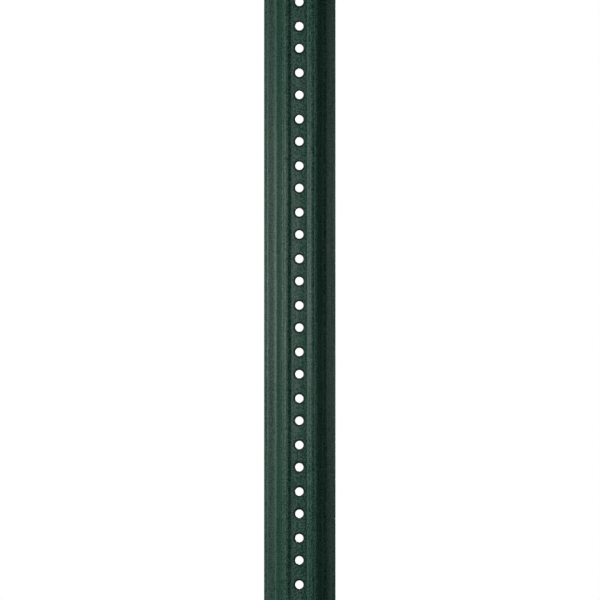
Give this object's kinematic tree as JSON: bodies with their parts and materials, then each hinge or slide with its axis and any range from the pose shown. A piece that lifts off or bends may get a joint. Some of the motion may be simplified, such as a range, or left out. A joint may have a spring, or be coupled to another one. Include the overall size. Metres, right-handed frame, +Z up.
{
  "type": "traffic sign post",
  "caption": "Straight steel sign post of ribbed, flanged U-channel section, with a row of bolt holes down its web.",
  "frame": {"origin": "at the foot of the upright post, in the middle of the section's width and depth", "axes": "+Z up along the post, +X across its width, +Y out of the open side; the ribbed back faces -Y"},
  "size_m": [0.0782, 0.0364, 1.8288],
  "materials": {
    "green_enamel": "semi-gloss dark green baked enamel"
  },
  "bodies": {
    "root": {"sign_post": "green_enamel"}
  },
  "joints": []
}
